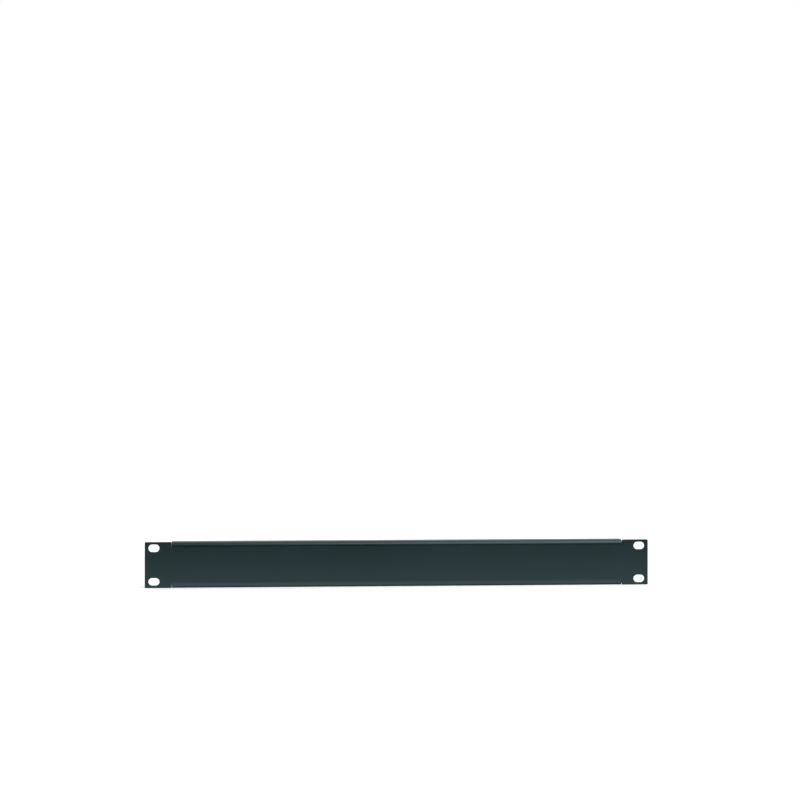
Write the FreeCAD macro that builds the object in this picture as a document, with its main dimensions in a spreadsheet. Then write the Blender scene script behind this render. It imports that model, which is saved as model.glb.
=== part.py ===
# Rack blanking panel, one rack unit high, folded from a single sheet of steel.
#
# All sizes are millimetres. The origin is the centre of the four rack slots, on the plane
# where the back of the sheet meets the rack rails. +X runs along the panel, to the right
# as seen from the front, +Y goes back into the rack and +Z is up.
#
# The flat face runs the full width. Between its two ears the sheet is folded back along
# the top and along the bottom, so the middle is a shallow channel and the ears stay flat.
# A narrow relief slit beside each end of each fold frees the bend from the flat ear. The
# upper right quarter is drawn, and two mirrors complete the panel, which is symmetrical
# both ways. Its free corners are rounded next, then the whole cut rim, and the edges of
# the punched slots are broken last.
import FreeCAD, Part
import os
from math import pi

import Sketcher

# Each driving size: its name in the sheet, its value and what it measures.
DRIVING_SIZES = (
    ("panel_width", 482.6, "overall width, end to end of the ears"),
    ("panel_height", 43.66, "overall height, one rack unit less the gap between panels"),
    ("sheet_thickness", 1.5, "thickness of the sheet with its coating"),
    ("bend_radius", 3.5, "inside radius of both folds"),
    ("flange_depth", 15.0, "front face to the rear edges of the flanges"),
    ("ear_width", 25.3, "end of a flange to the end of the panel"),
    ("relief_width", 0.1, "relief slit between the end of a flange and the ear"),
    ("relief_overcut", 0.3, "how far a slit's straight sides run on past the bend line"),
    ("slot_end_inset", 8.75, "end of the panel to the centre of a rack slot"),
    ("slot_edge_inset", 5.955, "upper or lower edge to the centre of a rack slot"),
    ("slot_length", 10.3, "rack slot, end to end"),
    ("slot_width", 7.1, "rack slot, across"),
    ("ear_corner_radius", 1.0, "outer corners of the ears"),
    ("mouth_corner_radius", 0.5, "corner of the ear at the mouth of a relief slit"),
    ("flange_corner_radius", 2.0, "rear corners of the flanges"),
    ("rim_radius", 0.3, "rounding of the cut rim, on the front and on the back"),
    ("slot_edge_break", 0.3, "broken edge of the punched slots, on the front and on the back"),
)

# The point numbers that a sketch gives to a side, and the sketch's own origin.
START, END, CENTRE = 1, 2, 3
SKETCH_ORIGIN = (-1, 1)
ACROSS_AXIS = -1
TOUCHING = 1e-4


class Sizes:
    """The spreadsheet of driving sizes, and the positions that follow from them."""

    def __init__(self, document):
        """Write each driving size into a cell and give the cell its name."""
        self.sheet = document.addObject("Spreadsheet::Sheet", "Sizes")
        for row, (name, value, meaning) in enumerate(DRIVING_SIZES, start=1):
            self.sheet.set(f"A{row}", name)
            self.sheet.set(f"B{row}", str(value))
            self.sheet.setAlias(f"B{row}", name)
            self.sheet.set(f"C{row}", meaning)
        document.recompute()
        for name, _, _ in DRIVING_SIZES:
            setattr(self, name, float(self.sheet.get(name)))
        self.end_x = self.panel_width / 2
        self.flange_end_x = self.end_x - self.ear_width
        self.mouth_x = self.flange_end_x + self.relief_width
        self.slot_x = self.end_x - self.slot_end_inset
        self.front_y = -self.sheet_thickness
        self.rear_y = self.flange_depth - self.sheet_thickness
        self.outer_radius = self.bend_radius + self.sheet_thickness
        self.top_z = self.panel_height / 2
        self.bend_z = self.top_z - self.outer_radius
        self.slot_z = self.top_z - self.slot_edge_inset


def origin_plane(body, role):
    """Find one of the body's own planes: XZ_Plane faces front, YZ_Plane right, XY_Plane up."""
    return next(item for item in body.Origin.OriginFeatures if item.Role == role)


def new_sketch(body, name, plane):
    """Start a sketch on one of the body's own planes."""
    sketch = body.newObject("Sketcher::SketchObject", name)
    sketch.AttachmentSupport = (origin_plane(body, plane), [""])
    sketch.MapMode = "FlatFace"
    return sketch


def add_sides(sketch, corners):
    """Add straight sides from corner to corner and return their numbers in the sketch."""
    points = [FreeCAD.Vector(across, up, 0) for across, up in corners]
    return [sketch.addGeometry(Part.LineSegment(*ends)) for ends in zip(points, points[1:])]


def add_arc(sketch, centre, radius, start_angle, end_angle):
    """Add an anticlockwise arc about a centre and return its number in the sketch."""
    circle = Part.Circle(FreeCAD.Vector(*centre, 0), FreeCAD.Vector(0, 0, 1), radius)
    return sketch.addGeometry(Part.ArcOfCircle(circle, start_angle, end_angle))


def relate(sketch, kind, *places):
    """Add a geometric relation, such as Horizontal, Coincident or Tangent."""
    sketch.addConstraint(Sketcher.Constraint(kind, *places))


def dimension(sketch, name, kind, places, value, formula):
    """Add a named dimension that follows a formula of the sheet's sizes."""
    index = sketch.addConstraint(Sketcher.Constraint(kind, *places, value))
    sketch.renameConstraint(index, name)
    sketch.setExpression(f"Constraints.{name}", formula)


def draw_folded_section(body, sizes):
    """Draw the upper half of the channel's section: half the face, the fold and the flange.

    Both arcs of the fold share one centre, so the sheet keeps its thickness round the bend.
    """
    sketch = new_sketch(body, "FoldedSection", "YZ_Plane")
    bend_centre = (sizes.bend_radius, sizes.bend_z)
    under_z = sizes.top_z - sizes.sheet_thickness
    back, middle, face = add_sides(sketch, (
        (0, sizes.bend_z), (0, 0), (sizes.front_y, 0), (sizes.front_y, sizes.bend_z)))
    top, rear, under = add_sides(sketch, (
        (sizes.bend_radius, sizes.top_z), (sizes.rear_y, sizes.top_z),
        (sizes.rear_y, under_z), (sizes.bend_radius, under_z)))
    outer_bend = add_arc(sketch, bend_centre, sizes.outer_radius, pi / 2, pi)
    inner_bend = add_arc(sketch, bend_centre, sizes.bend_radius, pi / 2, pi)

    relate(sketch, "Coincident", back, END, *SKETCH_ORIGIN)
    relate(sketch, "Coincident", back, END, middle, START)
    relate(sketch, "Coincident", middle, END, face, START)
    relate(sketch, "Tangent", face, END, outer_bend, END)
    relate(sketch, "Tangent", outer_bend, START, top, START)
    relate(sketch, "Coincident", top, END, rear, START)
    relate(sketch, "Coincident", rear, END, under, START)
    relate(sketch, "Tangent", under, END, inner_bend, START)
    relate(sketch, "Tangent", inner_bend, END, back, START)
    relate(sketch, "Coincident", inner_bend, CENTRE, outer_bend, CENTRE)
    for side in (middle, top, under):
        relate(sketch, "Horizontal", side)
    for side in (back, face, rear):
        relate(sketch, "Vertical", side)
    dimension(sketch, "thickness", "DistanceX", (middle, END, middle, START),
              sizes.sheet_thickness, "Sizes.sheet_thickness")
    dimension(sketch, "inside_radius", "Radius", (inner_bend,),
              sizes.bend_radius, "Sizes.bend_radius")
    dimension(sketch, "half_height", "DistanceY", (*SKETCH_ORIGIN, top, START),
              sizes.top_z, "Sizes.panel_height / 2")
    dimension(sketch, "depth", "DistanceX", (face, START, rear, START),
              sizes.flange_depth, "Sizes.flange_depth")
    return sketch


def draw_ear(body, sizes):
    """Draw the upper half of an ear, from the end of the flanges to the end of the panel."""
    sketch = new_sketch(body, "EarOutline", "XZ_Plane")
    level, outside, top, inside = add_sides(sketch, (
        (sizes.flange_end_x, 0), (sizes.end_x, 0), (sizes.end_x, sizes.top_z),
        (sizes.flange_end_x, sizes.top_z), (sizes.flange_end_x, 0)))

    relate(sketch, "Coincident", level, END, outside, START)
    relate(sketch, "Coincident", outside, END, top, START)
    relate(sketch, "Coincident", top, END, inside, START)
    relate(sketch, "Coincident", inside, END, level, START)
    for side in (level, top):
        relate(sketch, "Horizontal", side)
    for side in (outside, inside):
        relate(sketch, "Vertical", side)
    relate(sketch, "PointOnObject", level, START, ACROSS_AXIS)
    dimension(sketch, "half_width", "DistanceX", (*SKETCH_ORIGIN, level, END),
              sizes.end_x, "Sizes.panel_width / 2")
    dimension(sketch, "ear", "DistanceX", (level, START, level, END),
              sizes.ear_width, "Sizes.ear_width")
    dimension(sketch, "half_height", "DistanceY", (*SKETCH_ORIGIN, top, START),
              sizes.top_z, "Sizes.panel_height / 2")
    return sketch


def draw_relief(body, sizes):
    """Draw the relief slit: straight sides past the bend line, and a full round bottom."""
    sketch = new_sketch(body, "ReliefOutline", "XZ_Plane")
    radius = sizes.relief_width / 2
    centre = (sizes.flange_end_x + radius, sizes.bend_z - sizes.relief_overcut)
    outside, mouth, inside = add_sides(sketch, (
        (sizes.mouth_x, centre[1]), (sizes.mouth_x, sizes.top_z),
        (sizes.flange_end_x, sizes.top_z), (sizes.flange_end_x, centre[1])))
    bottom = add_arc(sketch, centre, radius, pi, 2 * pi)

    relate(sketch, "Tangent", bottom, END, outside, START)
    relate(sketch, "Coincident", outside, END, mouth, START)
    relate(sketch, "Coincident", mouth, END, inside, START)
    relate(sketch, "Tangent", inside, END, bottom, START)
    relate(sketch, "Horizontal", mouth)
    for side in (outside, inside):
        relate(sketch, "Vertical", side)
    dimension(sketch, "flange_end", "DistanceX", (*SKETCH_ORIGIN, inside, END),
              sizes.flange_end_x, "Sizes.panel_width / 2 - Sizes.ear_width")
    dimension(sketch, "slit_width", "DistanceX", (mouth, END, mouth, START),
              sizes.relief_width, "Sizes.relief_width")
    dimension(sketch, "half_height", "DistanceY", (*SKETCH_ORIGIN, mouth, START),
              sizes.top_z, "Sizes.panel_height / 2")
    dimension(sketch, "straight_side", "DistanceY", (bottom, CENTRE, mouth, START),
              sizes.outer_radius + sizes.relief_overcut,
              "Sizes.bend_radius + Sizes.sheet_thickness + Sizes.relief_overcut")
    return sketch


def draw_slot(body, sizes):
    """Draw the upper right rack slot: two half circles joined by two level sides."""
    sketch = new_sketch(body, "SlotOutline", "XZ_Plane")
    radius = sizes.slot_width / 2
    reach = sizes.slot_length / 2 - radius
    left_x, right_x = sizes.slot_x - reach, sizes.slot_x + reach
    upper, = add_sides(sketch, (
        (right_x, sizes.slot_z + radius), (left_x, sizes.slot_z + radius)))
    lower, = add_sides(sketch, (
        (left_x, sizes.slot_z - radius), (right_x, sizes.slot_z - radius)))
    left = add_arc(sketch, (left_x, sizes.slot_z), radius, pi / 2, 3 * pi / 2)
    right = add_arc(sketch, (right_x, sizes.slot_z), radius, -pi / 2, pi / 2)

    relate(sketch, "Tangent", upper, END, left, START)
    relate(sketch, "Tangent", left, END, lower, START)
    relate(sketch, "Tangent", lower, END, right, START)
    relate(sketch, "Tangent", right, END, upper, START)
    relate(sketch, "Equal", left, right)
    relate(sketch, "Horizontal", upper)
    dimension(sketch, "end_radius", "Radius", (left,), radius, "Sizes.slot_width / 2")
    dimension(sketch, "straight_side", "DistanceX", (left, CENTRE, right, CENTRE),
              2 * reach, "Sizes.slot_length - Sizes.slot_width")
    dimension(sketch, "across", "DistanceX", (*SKETCH_ORIGIN, right, CENTRE), right_x,
              "(Sizes.panel_width + Sizes.slot_length - Sizes.slot_width) / 2"
              " - Sizes.slot_end_inset")
    dimension(sketch, "up", "DistanceY", (*SKETCH_ORIGIN, left, CENTRE),
              sizes.slot_z, "Sizes.panel_height / 2 - Sizes.slot_edge_inset")
    return sketch


def pad(body, name, sketch, length):
    """Give a sketch a thickness: forwards from XZ_Plane, or to the right from YZ_Plane."""
    feature = body.newObject("PartDesign::Pad", name)
    feature.Profile = sketch
    feature.setExpression("Length", length)
    return feature


def punch(body, name, sketch):
    """Cut a sketch on XZ_Plane forwards through the whole sheet."""
    feature = body.newObject("PartDesign::Pocket", name)
    feature.Profile = sketch
    feature.Type = "ThroughAll"
    feature.Reversed = True
    return feature


def mirror_quarter(body, name, features):
    """Repeat the quarter's features below the level plane and left of the upright plane."""
    pattern = body.newObject("PartDesign::MultiTransform", name)
    pattern.Originals = features
    mirrors = []
    for plane in ("XY_Plane", "YZ_Plane"):
        mirror = body.newObject("PartDesign::Mirrored", f"{name}_{plane}")
        mirror.MirrorPlane = (origin_plane(body, plane), [""])
        mirrors.append(mirror)
    pattern.Transformations = mirrors
    body.Tip = pattern
    return pattern


def round_edges(body, name, base, edges, radius):
    """Round the chosen edges of the body so far by one of the sheet's sizes."""
    feature = body.newObject("PartDesign::Fillet", name)
    feature.Base = (base, [f"Edge{number}" for number in edges])
    feature.setExpression("Radius", radius)
    body.Document.recompute()
    return feature


def break_edges(body, name, base, edges, width):
    """Bevel the chosen edges of the body so far by one of the sheet's sizes."""
    feature = body.newObject("PartDesign::Chamfer", name)
    feature.Base = (base, [f"Edge{number}" for number in edges])
    feature.setExpression("Size", width)
    body.Document.recompute()
    return feature


def edges_at(shape, x, y, z):
    """Number the edges whose middle lies at (x, y, z) in any of the four quarters."""
    numbers = []
    for number, edge in enumerate(shape.Edges, start=1):
        centre = edge.CenterOfMass
        place = FreeCAD.Vector(abs(centre.x), centre.y, abs(centre.z))
        if place.distanceToPoint(FreeCAD.Vector(x, y, z)) < TOUCHING:
            numbers.append(number)
    return numbers


def is_broad(face, sizes):
    """Tell a broad face of the sheet, front or back, from a cut wall through its thickness.

    The folds are round about the X axis. The panel's face and the back of it lie across Y.
    A flange lies across Z and behind the sheet's back, unlike the cut end of an ear.
    """
    surface = face.Surface
    if isinstance(surface, Part.Cylinder):
        return abs(surface.Axis.x) > 0.5
    normal = surface.Axis
    if abs(normal.y) > 0.5:
        return face.CenterOfMass.y < TOUCHING
    return abs(normal.z) > 0.5 and face.CenterOfMass.y > sizes.bend_radius


def is_in_slot(edge, sizes):
    """Tell an edge of a rack slot from one of the sheet's outline."""
    centre = edge.CenterOfMass
    across, up = abs(abs(centre.x) - sizes.slot_x), abs(abs(centre.z) - sizes.slot_z)
    return (across < sizes.slot_length / 2 + TOUCHING
            and up < sizes.slot_width / 2 + TOUCHING)


def outline_rim(shape, sizes):
    """Number the edges where a broad face meets the cut wall of the outline."""
    numbers = []
    for number, edge in enumerate(shape.Edges, start=1):
        faces = shape.ancestorsOfType(edge, Part.Face)
        at_cut = sum(is_broad(face, sizes) for face in faces) == 1
        if at_cut and not is_in_slot(edge, sizes):
            numbers.append(number)
    return numbers


def slot_rims(shape, sizes):
    """Number the edges of the slots that lie in the front or in the back of the sheet."""
    numbers = []
    for number, edge in enumerate(shape.Edges, start=1):
        level = edge.CenterOfMass.y
        on_broad_face = min(abs(level), abs(level - sizes.front_y)) < TOUCHING
        if on_broad_face and is_in_slot(edge, sizes):
            numbers.append(number)
    return numbers


def make_panel(document, sizes):
    """Build the folded panel as one body."""
    body = document.addObject("PartDesign::Body", "Panel")
    body.Label = "blanking_panel"
    channel = pad(body, "Channel", draw_folded_section(body, sizes),
                  "Sizes.panel_width / 2 - Sizes.ear_width")
    ear = pad(body, "Ear", draw_ear(body, sizes), "Sizes.sheet_thickness")
    relief = punch(body, "Relief", draw_relief(body, sizes))
    slot = punch(body, "Slot", draw_slot(body, sizes))
    whole = mirror_quarter(body, "Whole", [channel, ear, relief, slot])
    document.recompute()
    for cut, uncut in ((relief, ear), (slot, relief)):
        if cut.Shape.Volume >= uncut.Shape.Volume:
            raise RuntimeError(f"{cut.Label} cuts nothing")

    middle_y = sizes.front_y / 2
    ears = round_edges(body, "EarCorners", whole, edges_at(
        whole.Shape, sizes.end_x, middle_y, sizes.top_z), "Sizes.ear_corner_radius")
    mouths = round_edges(body, "MouthCorners", ears, edges_at(
        ears.Shape, sizes.mouth_x, middle_y, sizes.top_z), "Sizes.mouth_corner_radius")
    flanges = round_edges(body, "FlangeCorners", mouths, edges_at(
        mouths.Shape, sizes.flange_end_x, sizes.rear_y,
        sizes.top_z - sizes.sheet_thickness / 2), "Sizes.flange_corner_radius")
    rim = round_edges(body, "Rim", flanges, outline_rim(
        flanges.Shape, sizes), "Sizes.rim_radius")
    break_edges(body, "SlotEdges", rim, slot_rims(
        rim.Shape, sizes), "Sizes.slot_edge_break")
    return body


def check_document(document):
    """Stop if any object of the document failed or a body has no sound solid."""
    for item in document.Objects:
        faults = {"Invalid", "Error"} & set(item.State)
        if faults:
            raise RuntimeError(f"{item.Label}: {faults}")
    for body in document.findObjects("PartDesign::Body"):
        if body.Shape.isNull() or not body.Shape.isValid():
            raise RuntimeError(f"{body.Label} has no valid shape")


def main():
    """Build the panel, check it and write its solid to the parts folder."""
    document = FreeCAD.newDocument("RackBlankingPanel")
    panel = make_panel(document, Sizes(document))
    document.recompute()
    check_document(document)
    os.makedirs("parts", exist_ok=True)
    panel.Shape.exportStep(f"parts/{panel.Label}.step")
    box = panel.Shape.BoundBox
    print(f"{panel.Label}: {len(panel.Shape.Solids)} solid, {len(panel.Shape.Faces)} faces, "
          f"{box.XLength:.2f} x {box.YLength:.2f} x {box.ZLength:.2f} mm, "
          f"volume {panel.Shape.Volume:.0f} mm3")


main()
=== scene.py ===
"""Looks of a folded and powder-coated rack blanking panel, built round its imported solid.

Lengths are metres in the part's own frame: +X runs along the panel, +Y back into the rack
and +Z up, from the centre of the four rack slots on the back of the sheet.

The panel is drawn as the flat blank that it is cut from. A rounded profile is carried round
each cut line of the blank, the broad faces are filled in between, and the whole blank is
then folded by formula, so that every point has its exact place and its exact normal.
"""

from __future__ import annotations

import logging
import math
from dataclasses import dataclass
from enum import Enum

import bpy
import numpy as np
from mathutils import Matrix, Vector
from mathutils.geometry import tessellate_polygon


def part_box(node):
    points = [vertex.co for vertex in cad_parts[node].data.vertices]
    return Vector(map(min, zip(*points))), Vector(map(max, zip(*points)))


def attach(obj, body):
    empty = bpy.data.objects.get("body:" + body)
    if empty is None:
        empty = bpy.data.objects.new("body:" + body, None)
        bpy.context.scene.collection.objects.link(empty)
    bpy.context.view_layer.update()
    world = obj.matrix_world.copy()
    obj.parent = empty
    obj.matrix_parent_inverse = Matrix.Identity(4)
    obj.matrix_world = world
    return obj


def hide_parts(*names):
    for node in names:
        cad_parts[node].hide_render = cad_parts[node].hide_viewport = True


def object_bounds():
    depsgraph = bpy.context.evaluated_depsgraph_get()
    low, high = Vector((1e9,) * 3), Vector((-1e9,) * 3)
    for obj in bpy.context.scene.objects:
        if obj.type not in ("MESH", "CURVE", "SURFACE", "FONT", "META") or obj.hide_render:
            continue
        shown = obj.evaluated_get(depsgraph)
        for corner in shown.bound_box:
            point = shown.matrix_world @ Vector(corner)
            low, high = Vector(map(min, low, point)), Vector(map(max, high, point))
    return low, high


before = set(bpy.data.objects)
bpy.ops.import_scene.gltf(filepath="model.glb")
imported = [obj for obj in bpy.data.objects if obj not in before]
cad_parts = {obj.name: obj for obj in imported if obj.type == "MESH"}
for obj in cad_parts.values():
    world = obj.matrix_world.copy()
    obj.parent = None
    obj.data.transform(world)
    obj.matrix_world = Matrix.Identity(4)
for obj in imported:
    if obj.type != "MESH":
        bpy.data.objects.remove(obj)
CAD_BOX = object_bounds()
CAD_NODE = "blanking_panel"
BODY = "root"
MM = 0.001
TOUCHING = 1e-7
LOG = logging.getLogger("rack_panel")

Array = np.ndarray
Colour = tuple[float, float, float]


class Hand(Enum):
    """Which side of a cut line the centre of an arc lies on."""

    CONVEX = 1.0
    HOLLOW = -1.0


class Ray(Enum):
    """The kinds of light path that the studio tells apart."""

    CAMERA = "Is Camera Ray"
    GLOSSY = "Is Glossy Ray"
    TRANSMISSION = "Is Transmission Ray"


@dataclass(frozen=True)
class CutLine:
    """A line along which the blank is cut, in the plane of the flat blank.

    points holds (along, up) places and outward the unit directions that lead out of the
    metal there, one row to a point. The metal lies on the left of the line.
    """

    points: Array
    outward: Array

    def mirrored(self, along: bool, up: bool) -> CutLine:
        """Mirror the line in the upright or the level axis, or in both.

        One mirror turns the direction of travel round, so the order is reversed then.

        Args:
            along: Whether to swap left and right.
            up: Whether to swap above and below.

        Returns:
            The mirrored line, still with the metal on its left.
        """
        signs = np.array([-1.0 if along else 1.0, -1.0 if up else 1.0])
        step = -1 if along != up else 1
        return CutLine((self.points * signs)[::step], (self.outward * signs)[::step])

    @staticmethod
    def joined(lines: list[CutLine]) -> CutLine:
        """Put lines end to end; a straight side runs from the end of one to the next."""
        return CutLine(
            np.concatenate([line.points for line in lines]),
            np.concatenate([line.outward for line in lines]),
        )

    @staticmethod
    def round_corner(centre: tuple[float, float], radius: float, start_deg: float,
                     end_deg: float, steps: int, hand: Hand = Hand.CONVEX) -> CutLine:
        """Trace an arc: the centre plus the radius times (cosine, sine) of the angle.

        Args:
            centre: Centre of the arc.
            radius: Radius of the arc.
            start_deg: Angle of the first point, anticlockwise from the along direction.
            end_deg: Angle of the last point.
            steps: How many chords the arc is divided into.
            hand: HOLLOW where the metal lies outside the arc, as at a hole.

        Returns:
            The arc as a cut line.
        """
        angle = np.radians(np.linspace(start_deg, end_deg, steps + 1))
        spoke = np.stack([np.cos(angle), np.sin(angle)], axis=1)
        return CutLine(np.array(centre) + radius * spoke, hand.value * spoke)


@dataclass(frozen=True)
class RimProfile:
    """Section of a cut edge: a quarter round, a straight wall and a quarter round.

    At angle a of a quarter round the surface lies radius times (1 - sine a) inside the
    wall and radius times (1 - cosine a) below the broad face.
    """

    thickness: float
    radius: float
    steps: int = 6

    def section(self) -> tuple[Array, Array, Array, Array]:
        """Trace the section from the front of the sheet to its back.

        Returns:
            For each point of the section: its inset from the wall, its depth below the
            front, and the outward and the depthward part of its unit normal.
        """
        angle = np.linspace(0.0, math.pi / 2, self.steps + 1)
        inset = self.radius * (1 - np.sin(angle))
        depth = self.radius * (1 - np.cos(angle))
        return (
            np.concatenate([inset, inset[::-1]]),
            np.concatenate([depth, self.thickness - depth[::-1]]),
            np.concatenate([np.sin(angle), np.sin(angle)[::-1]]),
            np.concatenate([-np.cos(angle), np.cos(angle)[::-1]]),
        )


@dataclass(frozen=True)
class FoldedSheet:
    """The fold along the top and the bottom, as a formula from flat blank to folded part.

    The front of the sheet keeps its length. From the bend line on, the front turns about a
    centre at the inside radius behind the sheet, until it has turned by a right angle, and
    then runs straight back. Beyond the ends of the flanges nothing is folded.
    """

    thickness: float
    inside_radius: float
    bend_line: float
    ear_start: float

    @property
    def outside_radius(self) -> float:
        """Radius of the fold on the front of the sheet."""
        return self.inside_radius + self.thickness

    @property
    def bend_end(self) -> float:
        """Where the fold ends, measured up the front of the blank."""
        return self.bend_line + self.outside_radius * math.pi / 2

    def turned(self, along: Array, up: Array) -> Array:
        """Angle by which the sheet has turned at each place: from 0 to a right angle."""
        share = np.clip((np.abs(up) - self.bend_line) / (self.bend_end - self.bend_line), 0, 1)
        return np.where(np.abs(along) > self.ear_start, 0.0, share * math.pi / 2)

    def places(self, along: Array, up: Array, depth: Array) -> Array:
        """Fold points of the blank.

        With R the outside radius less the depth, a point lies at Y = inside radius - R
        cosine of the turn + its run along the flange, and at Z = its height below the bend
        line + R sine of the turn, mirrored for the lower half.

        Args:
            along: Places along the panel.
            up: Places up the blank, from its middle.
            depth: Depths below the front of the sheet.

        Returns:
            The (x, y, z) of each point in the part's frame.
        """
        turn = self.turned(along, up)
        on_ear = np.abs(along) > self.ear_start
        reach = np.abs(up)
        run = np.where(on_ear, 0.0, np.maximum(reach - self.bend_end, 0.0))
        height = np.where(on_ear, reach, np.minimum(reach, self.bend_line))
        radius = self.outside_radius - depth
        y = self.inside_radius - radius * np.cos(turn) + run
        z = np.sign(up) * (height + radius * np.sin(turn))
        return np.stack([along, y, z], axis=-1)

    def directions(self, along: Array, up: Array, vector: Array) -> Array:
        """Fold directions of the blank.

        Up the blank turns from Z towards Y, and depth turns from Y towards the middle.

        Args:
            along: Places along the panel.
            up: Places up the blank, from its middle.
            vector: The along, up and depth parts of each direction.

        Returns:
            The (x, y, z) of each direction in the part's frame.
        """
        turn, side = self.turned(along, up), np.sign(up)
        across, rise, sink = vector[..., 0], vector[..., 1], vector[..., 2]
        y = side * np.sin(turn) * rise + np.cos(turn) * sink
        z = np.cos(turn) * rise - side * np.sin(turn) * sink
        return np.stack([across, y, z], axis=-1)


class MeshParts:
    """Gathers points, normals, an edge mask and faces, and makes one object of them."""

    def __init__(self) -> None:
        """Start with nothing."""
        self.places: list[Array] = []
        self.normals: list[Array] = []
        self.edge: list[Array] = []
        self.faces: list[list[int]] = []
        self.count = 0

    def add_grid(self, places: Array, normals: Array, edge: Array) -> Array:
        """Add a grid of points.

        Args:
            places: The (x, y, z) of each point.
            normals: The normal at each point.
            edge: The edge mask at each point, in the shape of the grid.

        Returns:
            The number of each point, in the shape of the grid.
        """
        numbers = self.count + np.arange(edge.size).reshape(edge.shape)
        self.places.append(places.reshape(-1, 3))
        self.normals.append(normals.reshape(-1, 3))
        self.edge.append(edge.ravel())
        self.count += edge.size
        return numbers

    def add_faces(self, corners: Array) -> None:
        """Add faces, one row of point numbers to a face."""
        self.faces.extend(corners.tolist())

    def make_object(self, name: str) -> bpy.types.Object:
        """Make the mesh object, smooth by its exact normals, with the mask as an attribute.

        Args:
            name: Name of the piece.

        Returns:
            The object, linked to the scene at the origin.
        """
        mesh = bpy.data.meshes.new(name)
        mesh.from_pydata(np.concatenate(self.places).tolist(), [], self.faces)
        mesh.update()
        mesh.shade_smooth()
        mesh.normals_split_custom_set_from_vertices(np.concatenate(self.normals).tolist())
        mask = mesh.attributes.new("cut_edge", "FLOAT", "POINT")
        mask.data.foreach_set("value", np.concatenate(self.edge).astype(np.float32))
        piece = bpy.data.objects.new(name, mesh)
        bpy.context.scene.collection.objects.link(piece)
        return piece


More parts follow.
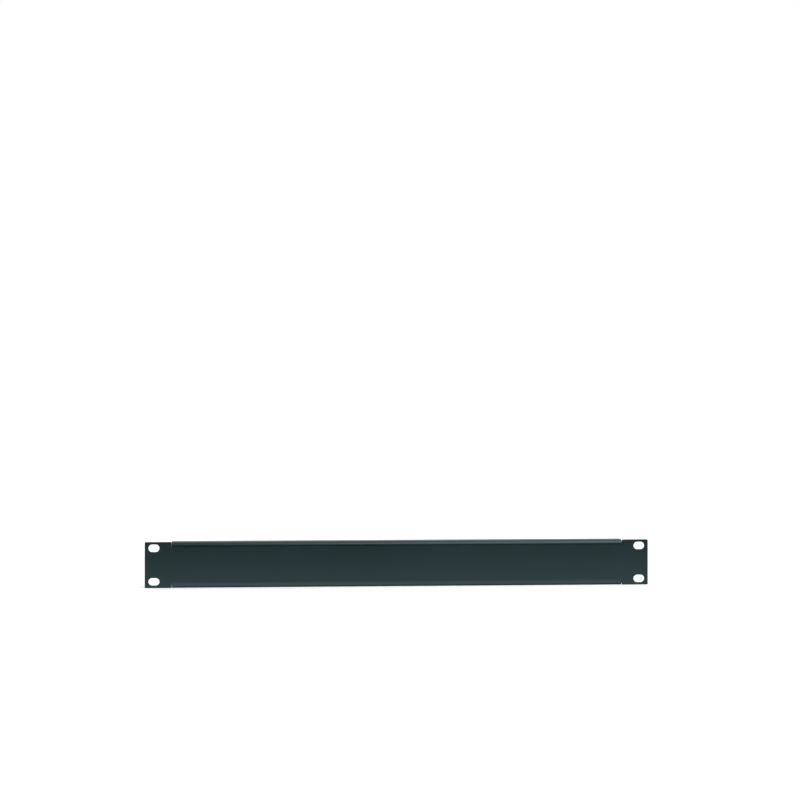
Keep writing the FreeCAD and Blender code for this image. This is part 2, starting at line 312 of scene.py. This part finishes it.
@dataclass(frozen=True)
class BlankingPanel:
    """The folded panel: its sizes, its flat blank and its mesh.

    relief_width is the slit as the powder leaves it: a little narrower than it is cut.
    """

    width: float
    height: float
    depth: float
    thickness: float = 1.5 * MM
    inside_radius: float = 3.5 * MM
    ear_width: float = 25.3 * MM
    relief_width: float = 0.04 * MM
    relief_overcut: float = 0.3 * MM
    slot_end_inset: float = 8.75 * MM
    slot_edge_inset: float = 5.955 * MM
    slot_length: float = 10.3 * MM
    slot_width: float = 7.1 * MM
    ear_corner: float = 1.0 * MM
    mouth_corner: float = 0.5 * MM
    flange_corner: float = 2.0 * MM
    rim_radius: float = 0.3 * MM
    ear_corner_steps: int = 10
    mouth_steps: int = 8
    relief_steps: int = 8
    bend_steps: int = 28
    flange_corner_steps: int = 12
    slot_steps: int = 28

    @classmethod
    def from_frame(cls) -> BlankingPanel:
        """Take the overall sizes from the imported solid.

        Returns:
            The panel.
        """
        low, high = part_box(CAD_NODE)
        width, depth, height = high - low
        return cls(width, height, depth)

    @property
    def end(self) -> float:
        """Half the width of the panel."""
        return self.width / 2

    @property
    def top(self) -> float:
        """Half the height of the panel."""
        return self.height / 2

    @property
    def flange_end(self) -> float:
        """Where the flanges end, along the panel."""
        return self.end - self.ear_width

    def sheet(self) -> FoldedSheet:
        """The fold of this panel; its flat ears start half way across the relief slit."""
        return FoldedSheet(
            thickness=self.thickness,
            inside_radius=self.inside_radius,
            bend_line=self.top - self.inside_radius - self.thickness,
            ear_start=self.flange_end + self.relief_width / 2,
        )

    def outline(self, sheet: FoldedSheet) -> CutLine:
        """Trace the outline of the blank from its upper right quarter and its mirrors.

        Args:
            sheet: The fold, which sets where the bend lies on the blank.

        Returns:
            The closed outline, anticlockwise as seen from the front.
        """
        corner, mouth, free = self.ear_corner, self.mouth_corner, self.flange_corner
        mouth_start = self.flange_end + self.relief_width
        half_relief = self.relief_width / 2
        relief_centre = (self.flange_end + half_relief, sheet.bend_line - self.relief_overcut)
        flange_rear = sheet.bend_end + self.depth - self.thickness - self.inside_radius
        bend = np.linspace(sheet.bend_line, sheet.bend_end, self.bend_steps + 1)
        bend_side = CutLine(
            np.stack([np.full_like(bend, self.flange_end), bend], axis=1),
            np.tile([1.0, 0.0], (bend.size, 1)),
        )
        quarter = CutLine.joined([
            CutLine.round_corner((self.end - corner, self.top - corner), corner, 0, 90,
                                 self.ear_corner_steps),
            CutLine.round_corner((mouth_start + mouth, self.top - mouth), mouth, 90, 180,
                                 self.mouth_steps),
            CutLine.round_corner(relief_centre, half_relief, 0, -180, self.relief_steps,
                                 Hand.HOLLOW),
            bend_side,
            CutLine.round_corner((self.flange_end - free, flange_rear - free), free, 0, 90,
                                 self.flange_corner_steps),
        ])
        return CutLine.joined([
            quarter,
            quarter.mirrored(along=True, up=False),
            quarter.mirrored(along=True, up=True),
            quarter.mirrored(along=False, up=True),
        ])

    def slots(self) -> list[CutLine]:
        """Trace the four rack slots, clockwise, because the metal lies outside them.

        Returns:
            The closed cut line of each slot.
        """
        radius = self.slot_width / 2
        reach = self.slot_length / 2 - radius
        across, up = self.end - self.slot_end_inset, self.top - self.slot_edge_inset
        slot = CutLine.joined([
            CutLine.round_corner((across + reach, up), radius, 90, -90, self.slot_steps,
                                 Hand.HOLLOW),
            CutLine.round_corner((across - reach, up), radius, 270, 90, self.slot_steps,
                                 Hand.HOLLOW),
        ])
        return [slot.mirrored(along, below) for along in (False, True) for below in (False, True)]

    def build(self) -> bpy.types.Object:
        """Build the panel: a rim round each cut line, then the front, the back and the bends.

        Returns:
            The closed mesh object, with its normals outwards.
        """
        sheet = self.sheet()
        lines = [self.outline(sheet), *self.slots()]
        parts = MeshParts()
        rims = [self._add_rim(parts, sheet, line) for line in lines]
        for row, outwards in ((0, 1), (-1, -1)):
            self._add_face(parts, lines, [rim[row] for rim in rims], sheet, outwards)
            self._add_flanges(parts, lines[0], rims[0][row], sheet, outwards)
        LOG.info("folded panel: %d points, %d faces", parts.count, len(parts.faces))
        return parts.make_object("folded_panel")

    def _add_rim(self, parts: MeshParts, sheet: FoldedSheet, line: CutLine) -> Array:
        """Carry the rim's section round a closed cut line.

        The grid has a row for each point of the section and a column for each point of the
        line: the point less the inset along the outward direction, at the section's depth.

        Args:
            parts: The mesh so far.
            sheet: The fold.
            line: The closed cut line.

        Returns:
            The point numbers, front row first.
        """
        inset, depth, outward, sink = RimProfile(self.thickness, self.rim_radius).section()
        flat = line.points[None] - inset[:, None, None] * line.outward[None]
        along, up = flat[..., 0], flat[..., 1]
        sunk = np.broadcast_to(depth[:, None], along.shape)
        normal = np.empty((*along.shape, 3))
        normal[..., :2] = outward[:, None, None] * line.outward[None]
        normal[..., 2] = sink[:, None]
        mask = np.broadcast_to(outward[:, None], along.shape)
        rows = parts.add_grid(
            sheet.places(along, up, sunk), sheet.directions(along, up, normal), mask)
        near, far = rows[:-1], rows[1:]
        ring = np.stack([near, far, np.roll(far, -1, 1), np.roll(near, -1, 1)], axis=-1)
        parts.add_faces(ring.reshape(-1, 4))
        return rows

    def _add_face(self, parts: MeshParts, lines: list[CutLine], rows: list[Array],
                  sheet: FoldedSheet, outwards: int) -> None:
        """Fill the flat face between its outline and the slots with triangles.

        Args:
            parts: The mesh so far.
            lines: The outline of the blank and the slots.
            rows: The point numbers of one broad side, one row to a line.
            sheet: The fold.
            outwards: 1 for the front and -1 for the back.
        """
        on_ear = np.abs(lines[0].points[:, 0]) > self.flange_end + TOUCHING
        below_bend = np.abs(lines[0].points[:, 1]) < sheet.bend_line + TOUCHING
        flat = on_ear | below_bend
        inset = [line.points - self.rim_radius * line.outward for line in lines]
        loops = [inset[0][flat], *inset[1:]]
        numbers = np.concatenate([rows[0][flat], *rows[1:]])
        points = np.concatenate(loops)
        corners = np.array(tessellate_polygon(
            [[Vector((*point, 0.0)) for point in loop.tolist()] for loop in loops]))
        first, second, third = (points[corners[:, side]] for side in range(3))
        one, other = second - first, third - first
        clockwise = one[:, 0] * other[:, 1] < one[:, 1] * other[:, 0]
        corners[clockwise] = corners[clockwise][:, ::-1]
        parts.add_faces(numbers[corners][:, ::outwards])

    def _add_flanges(self, parts: MeshParts, outline: CutLine, row: Array,
                     sheet: FoldedSheet, outwards: int) -> None:
        """Fill each bend with strips from end to end, and each flange with one flat face.

        Args:
            parts: The mesh so far.
            outline: The outline of the blank.
            row: The outline's point numbers on one broad side.
            sheet: The fold.
            outwards: 1 for the front and -1 for the back.
        """
        along, up = outline.points.T
        at_end = np.abs(np.abs(along) - self.flange_end) < TOUCHING
        in_bend = at_end & (np.abs(up) > sheet.bend_line - TOUCHING)
        in_bend &= np.abs(up) < sheet.bend_end + TOUCHING
        past_bend = (np.abs(along) < self.flange_end + TOUCHING)
        past_bend &= np.abs(up) > sheet.bend_end - TOUCHING
        for half in (up > 0, up < 0):
            right = row[in_bend & half & (along > 0)]
            left = row[in_bend & half & (along < 0)][::-1]
            strips = np.stack([left[:-1], right[:-1], right[1:], left[1:]], axis=1)
            parts.add_faces(strips[:, ::outwards])
            parts.add_faces(row[past_bend & half][None, ::outwards])


class NodeGraph:
    """A short way to lay out a shader tree: nodes by type, and sockets by name."""

    def __init__(self, tree: bpy.types.NodeTree) -> None:
        """Work on a tree, emptied first."""
        self.tree = tree
        tree.nodes.clear()

    def add(self, kind: str, **settings: object) -> bpy.types.Node:
        """Add a node.

        Args:
            kind: The node's type.
            settings: Its own properties, by name.

        Returns:
            The node.
        """
        node = self.tree.nodes.new(kind)
        for name, value in settings.items():
            setattr(node, name, value)
        return node

    def feed(self, node: bpy.types.Node, **inputs: object) -> bpy.types.Node:
        """Fill a node's inputs by links or by values.

        Args:
            node: The node.
            inputs: What goes into each input: a socket or a value. An input is named with
                underscores for spaces, or by its number after one underscore.

        Returns:
            The node.
        """
        for name, value in inputs.items():
            socket = node.inputs[int(name[1:]) if name[1:].isdigit() else name.replace("_", " ")]
            if isinstance(value, bpy.types.NodeSocket):
                self.tree.links.new(value, socket)
            else:
                socket.default_value = value
        return node

    def math(self, operation: str, *values: object) -> bpy.types.NodeSocket:
        """Add a sum of one or two values and return its result."""
        node = self.add("ShaderNodeMath", operation=operation)
        return self.feed(node, **{f"_{i}": v for i, v in enumerate(values)}).outputs[0]

    def span(self, value: object, low: float, high: float, to_low: float,
             to_high: float, smooth: bool = False) -> bpy.types.NodeSocket:
        """Carry a value from one range to another, held at the ends.

        Args:
            value: The value or its socket.
            low: Where the first range starts.
            high: Where the first range ends.
            to_low: What the start becomes.
            to_high: What the end becomes.
            smooth: Whether to ease in and out instead of running straight.

        Returns:
            The socket of the result.
        """
        kind = "SMOOTHSTEP" if smooth else "LINEAR"
        node = self.add("ShaderNodeMapRange", interpolation_type=kind)
        self.feed(node, Value=value, From_Min=low, From_Max=high, To_Min=to_low, To_Max=to_high)
        return node.outputs["Result"]

    def blend(self, share: object, first: object, second: object) -> bpy.types.NodeSocket:
        """Mix two colours by a share of the second."""
        node = self.add("ShaderNodeMix", data_type="RGBA")
        return self.feed(node, _0=share, _6=first, _7=second).outputs[2]


def opaque(colour: Colour) -> tuple[float, float, float, float]:
    """Give a colour the alpha that a colour socket wants."""
    return (*colour, 1.0)


def powder_relief_group() -> bpy.types.ShaderNodeTree:
    """Shader group: the surface that baked powder leaves, from places on the part.

    The height is orange peel, which is broad and low, with fine grain on it. Cloud is a
    slow variation in how the powder fell.

    Returns:
        The group.
    """
    tree = bpy.data.node_groups.new("powder_relief", "ShaderNodeTree")
    graph = NodeGraph(tree)
    face = tree.interface
    for name, kind in (("Vector", "NodeSocketVector"), ("Peel Size", "NodeSocketFloat"),
                       ("Grain Size", "NodeSocketFloat"), ("Cloud Size", "NodeSocketFloat"),
                       ("Grain Share", "NodeSocketFloat")):
        face.new_socket(name, in_out="INPUT", socket_type=kind)
    for name in ("Height", "Cloud"):
        face.new_socket(name, in_out="OUTPUT", socket_type="NodeSocketFloat")
    given = graph.add("NodeGroupInput").outputs
    result = graph.add("NodeGroupOutput")

    def sized(size_name: str, detail: float) -> bpy.types.NodeSocket:
        """Noise whose size is one of the group's inputs.

        Args:
            size_name: The input that holds the size.
            detail: How many finer layers the noise has.

        Returns:
            The socket of the noise.
        """
        node = graph.add("ShaderNodeTexNoise")
        scale = graph.math("DIVIDE", 1.0, given[size_name])
        graph.feed(node, Vector=given["Vector"], Scale=scale, Detail=detail)
        return node.outputs["Fac"]

    grain = graph.math("MULTIPLY", sized("Grain Size", detail=2.0), given["Grain Share"])
    height = graph.math("ADD", sized("Peel Size", detail=1.0), grain)
    graph.feed(result, Height=height, Cloud=sized("Cloud Size", detail=3.0))
    return tree


@dataclass(frozen=True)
class PowderCoat:
    """Satin black powder coat: nearly black, with a cool cast to its gloss.

    Between cloud_low and cloud_high the slow cloud in the coat runs from colour to
    cloud_colour and carries the roughness across gloss_spread about gloss. The cut edges
    are lighter: partly the thinner coat there and partly a painted highlight.
    """

    colour: Colour = (0.0004, 0.0052, 0.0064)
    cloud_colour: Colour = (0.0012, 0.0072, 0.0086)
    # lighter colour of the cut edges: thinner coat there, and a painted highlight
    edge_thin_coat_and_highlight: Colour = (0.0080, 0.0115, 0.0120)
    gloss_tint: Colour = (0.60, 0.93, 1.0)
    gloss: float = 0.33
    ior: float = 1.58
    gloss_spread: float = 0.05
    edge_gloss: float = 0.26
    peel_size: float = 1.4 * MM
    grain_size: float = 0.40 * MM
    cloud_size: float = 38.0 * MM
    cloud_low: float = 0.35
    cloud_high: float = 0.65
    grain_share: float = 0.30
    relief: float = 0.035 * MM

    def material(self, relief_group: bpy.types.ShaderNodeTree) -> bpy.types.Material:
        """Build the material.

        Args:
            relief_group: The group that gives the powder's height and cloud.

        Returns:
            The node material.
        """
        material = bpy.data.materials.new("satin_powder_coat")
        material.use_nodes = True
        graph = NodeGraph(material.node_tree)
        places = graph.add("ShaderNodeTexCoord").outputs["Object"]
        powder = graph.add("ShaderNodeGroup", node_tree=relief_group)
        graph.feed(powder, Vector=places, Peel_Size=self.peel_size,
                   Grain_Size=self.grain_size, Cloud_Size=self.cloud_size,
                   Grain_Share=self.grain_share)
        cloud = powder.outputs["Cloud"]
        edge = graph.add("ShaderNodeAttribute", attribute_name="cut_edge").outputs["Fac"]
        colour = graph.blend(graph.span(cloud, self.cloud_low, self.cloud_high, 0.0, 1.0),
                             opaque(self.colour), opaque(self.cloud_colour))
        # the cut edges get the lighter colour: thinner coat plus a painted highlight
        colour = graph.blend(edge, colour, opaque(self.edge_thin_coat_and_highlight))
        low, high = self.gloss - self.gloss_spread / 2, self.gloss + self.gloss_spread / 2
        rough = graph.span(cloud, self.cloud_low, self.cloud_high, low, high)
        rough = graph.math("ADD", rough, graph.math(
            "MULTIPLY", edge, self.edge_gloss - self.gloss))
        bump = graph.add("ShaderNodeBump")
        graph.feed(bump, Height=powder.outputs["Height"], Distance=self.relief, Strength=1.0)
        shader = graph.add("ShaderNodeBsdfPrincipled")
        graph.feed(shader, Base_Color=colour, Roughness=rough, Normal=bump.outputs["Normal"],
                   Specular_Tint=opaque(self.gloss_tint), IOR=self.ior)
        output = graph.add("ShaderNodeOutputMaterial")
        graph.feed(output, Surface=shader.outputs["BSDF"])
        return material


@dataclass(frozen=True)
class Lamp:
    """A soft rectangular lamp, aimed at a place and as bright all over its face."""

    name: str
    place: tuple[float, float, float]
    aim: tuple[float, float, float]
    width: float
    height: float
    radiance: float

    def make(self) -> bpy.types.Object:
        """Make the lamp. Its power is pi times its area times its radiance.

        Returns:
            The lamp object.
        """
        light = bpy.data.lights.new(self.name, "AREA")
        light.shape = "RECTANGLE"
        light.size, light.size_y = self.width, self.height
        light.energy = math.pi * self.width * self.height * self.radiance
        lamp = bpy.data.objects.new(self.name, light)
        lamp.location = self.place
        toward = Vector(self.aim) - Vector(self.place)
        lamp.rotation_euler = toward.to_track_quat("-Z", "Y").to_euler()
        bpy.context.scene.collection.objects.link(lamp)
        LOG.info("lamp %s", self.name)
        return lamp


@dataclass(frozen=True)
class PhotoCamera:
    """A level camera before the panel, a little to the left and above it.

    The panel's right end is a few degrees further away. The eye level lies just above the
    middle of the frame and the panel well below it, as in the photograph.
    """

    distance: float = 2.0
    turn_deg: float = 4.606
    eye_above_foot: float = 0.1858
    aim_along: float = 0.0014
    lens_mm: float = 94.06
    frame_size_px: float = 800.0
    eye_level_px: float = 392.0
    near_clip: float = 0.05
    far_clip: float = 50.0

    def make(self, foot: float) -> bpy.types.Object:
        """Make the camera and set it as the scene's.

        Args:
            foot: Height of what the panel stands on.

        Returns:
            The camera object.
        """
        data = bpy.data.cameras.new("photo_camera")
        data.lens = self.lens_mm
        data.shift_y = (self.eye_level_px - self.frame_size_px / 2) / self.frame_size_px
        data.clip_start, data.clip_end = self.near_clip, self.far_clip
        camera = bpy.data.objects.new("photo_camera", data)
        turn = math.radians(self.turn_deg)
        ahead = Vector((math.sin(turn), math.cos(turn), 0.0))
        aim = Vector((self.aim_along, 0.0, foot + self.eye_above_foot))
        camera.location = aim - self.distance * ahead
        camera.rotation_euler = ahead.to_track_quat("-Z", "Y").to_euler()
        bpy.context.scene.collection.objects.link(camera)
        bpy.context.scene.camera = camera
        LOG.info("camera at %s", tuple(round(value, 4) for value in camera.location))
        return camera


@dataclass(frozen=True)
class Studio:
    """White floor and backdrop, a dim room in front and two soft lamps.

    fill is the floor's own white, which is less within fill_near of the middle, where the
    shadow falls. glow is a painted pool of light that the floor gives to the panel's gloss,
    from glow_near to glow_far in front of it. contact is a painted contact shadow: the dark
    line where the floor is nearly covered.
    """

    foot: float
    floor_size: float = 12.0
    floor_grey: float = 0.80
    floor_fill: float = 0.38
    fill_near: float = 0.35
    fill_far: float = 1.10
    # settings of the painted contact shadow at the foot
    contact_reach: float = 8.0 * MM
    contact_shut: float = 0.05
    contact_open: float = 0.50
    contact_rays: int = 16
    # painted pool of light on the floor, seen only in the panel's gloss
    glow_level: float = 1.38
    glow_near: float = 0.02
    glow_far: float = 0.62
    glow_far_level: float = 0.17
    room_level: float = 0.17
    room_end: float = -0.35
    backdrop_start: float = 0.25
    backdrop_level: float = 1.0
    sky_level: float = 0.32
    sky_low: float = 0.30
    sky_high: float = 0.65

    def lamps(self) -> list[Lamp]:
        """Set out the lamps: a large one above in front, and a lower one further right.

        Returns:
            The lamps.
        """
        aim = (0.10, 0.0, 0.0)
        return [
            Lamp("overhead_softbox", place=(0.50, -0.58, 1.15), aim=aim, width=1.30,
                 height=0.90, radiance=2.9),
            Lamp("front_right_softbox", place=(1.30, -1.40, 0.55), aim=aim, width=0.90,
                 height=0.70, radiance=1.6),
        ]

    def build(self) -> None:
        """Make the floor, the world and the lamps."""
        self._make_floor()
        self._make_world()
        for lamp in self.lamps():
            lamp.make()

    def _rays(self, graph: NodeGraph, *kinds: Ray) -> bpy.types.NodeSocket:
        """Make a mask of kinds of light path.

        Args:
            graph: The shader tree.
            kinds: The kinds of light path.

        Returns:
            The socket of a mask that is 1 for any of them.
        """
        paths = graph.add("ShaderNodeLightPath").outputs
        mask = paths[kinds[0].value]
        for kind in kinds[1:]:
            mask = graph.math("MAXIMUM", mask, paths[kind.value])
        return mask

    def _painted_contact_shade(self, graph: NodeGraph) -> bpy.types.NodeSocket:
        """Make the mask of the painted contact shadow, a dark line at the foot.

        Args:
            graph: The floor's shader tree.

        Returns:
            The socket of a mask that falls to 0 where the floor is covered, as painted shade.
        """
        opening = graph.add("ShaderNodeAmbientOcclusion", samples=self.contact_rays)
        graph.feed(opening, Distance=self.contact_reach)
        return graph.span(opening.outputs["AO"], self.contact_shut, self.contact_open,
                          0.0, 1.0, smooth=True)

    def _make_floor(self) -> None:
        """Make the floor: white to the camera but for the panel's soft shadow.

        In the gloss of the panel it shows a painted pool of light: bright by the foot and
        dimmer further out, as a table is under a softbox. A painted contact shadow darkens it
        where the floor is nearly covered. From below it lets the view through.
        """
        half = self.floor_size / 2
        mesh = bpy.data.meshes.new("floor")
        corners = [(-half, -half, self.foot), (half, -half, self.foot),
                   (half, half, self.foot), (-half, half, self.foot)]
        mesh.from_pydata(corners, [], [(0, 1, 2, 3)])
        floor = bpy.data.objects.new("floor", mesh)
        bpy.context.scene.collection.objects.link(floor)

        material = bpy.data.materials.new("white_floor")
        material.use_nodes = True
        graph = NodeGraph(material.node_tree)
        matt = graph.add("ShaderNodeBsdfDiffuse")
        graph.feed(matt, Color=opaque((self.floor_grey,) * 3))
        places = graph.add("ShaderNodeTexCoord").outputs["Object"]
        parts = graph.feed(graph.add("ShaderNodeSeparateXYZ"), Vector=places).outputs
        # painted pool of light: the floor's glow in gloss, bright by the foot and dimmer further
        # out
        painted_glow = graph.span(graph.math("MULTIPLY", parts["Y"], -1.0), self.glow_near,
                          self.glow_far, self.glow_level, self.glow_far_level, smooth=True)
        reach = graph.feed(graph.add("ShaderNodeVectorMath", operation="LENGTH"), _0=places)
        level = graph.span(reach.outputs["Value"], self.fill_near, self.fill_far,
                           self.floor_fill, 1.0, smooth=True)
        # painted contact shadow: darkens the floor's white and its glow where the floor is nearly
        # covered
        contact_shade = self._painted_contact_shade(graph)
        shown = graph.math("MULTIPLY", contact_shade, self._rays(graph, Ray.CAMERA, Ray.TRANSMISSION))
        # emission that shows the painted pool of light, dimmed by the painted contact shadow, to
        # glossy rays
        mirrored = graph.add("ShaderNodeEmission")
        graph.feed(mirrored, Color=opaque((1.0, 1.0, 1.0)),
                   Strength=graph.math("MULTIPLY", contact_shade, painted_glow))
        fill = graph.add("ShaderNodeEmission")
        graph.feed(fill, Strength=graph.math("MULTIPLY", shown, level))
        lit = graph.feed(graph.add("ShaderNodeAddShader"),
                         _0=matt.outputs[0], _1=fill.outputs[0])
        seen = graph.feed(graph.add("ShaderNodeMixShader"), _0=self._rays(graph, Ray.GLOSSY),
                          _1=lit.outputs[0], _2=mirrored.outputs[0])
        below = graph.add("ShaderNodeNewGeometry").outputs["Backfacing"]
        clear = graph.add("ShaderNodeBsdfTransparent")
        whole = graph.feed(graph.add("ShaderNodeMixShader"), _0=below,
                           _1=seen.outputs[0], _2=clear.outputs[0])
        graph.feed(graph.add("ShaderNodeOutputMaterial"), Surface=whole.outputs[0])
        mesh.materials.append(material)

    def _make_world(self) -> None:
        """Make the surroundings: white to the camera, a lit room to everything else.

        The room is the backdrop's white towards the back, dim towards the front and
        lighter overhead.
        """
        world = bpy.data.worlds.new("studio_room")
        bpy.context.scene.world = world
        world.use_nodes = True
        graph = NodeGraph(world.node_tree)
        way = graph.add("ShaderNodeTexCoord").outputs["Generated"]
        parts = graph.feed(graph.add("ShaderNodeSeparateXYZ"), Vector=way).outputs
        behind = graph.span(parts["Y"], self.room_end, self.backdrop_start, 0.0, 1.0,
                            smooth=True)
        back = graph.span(behind, 0.0, 1.0, self.room_level, self.backdrop_level)
        sky = graph.span(parts["Z"], self.sky_low, self.sky_high, 0.0, self.sky_level, smooth=True)
        level = graph.math("MAXIMUM", back, sky)
        room = graph.feed(graph.add("ShaderNodeBackground"), Strength=level)
        white = graph.feed(graph.add("ShaderNodeBackground"), Strength=1.0)
        for background in (room, white):
            background.inputs["Color"].default_value = opaque((1.0, 1.0, 1.0))
        mirrored = graph.math("MULTIPLY", self._rays(graph, Ray.GLOSSY), behind)
        mask = graph.math("MAXIMUM", mirrored, self._rays(graph, Ray.CAMERA, Ray.TRANSMISSION))
        mixed = graph.feed(graph.add("ShaderNodeMixShader"), _0=mask,
                           _1=room.outputs[0], _2=white.outputs[0])
        graph.feed(graph.add("ShaderNodeOutputWorld"), Surface=mixed.outputs[0])


def main() -> None:
    """Build the panel, dress it and set up the studio round it."""
    logging.basicConfig(level=logging.INFO, format="%(name)s: %(message)s")
    bpy.context.scene.view_settings.view_transform = "Standard"
    panel = BlankingPanel.from_frame().build()
    panel.data.materials.append(PowderCoat().material(powder_relief_group()))
    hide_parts(CAD_NODE)
    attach(panel, BODY)
    foot = CAD_BOX[0].z
    Studio(foot).build()
    PhotoCamera().make(foot)


if __name__ == "__main__":
    main()
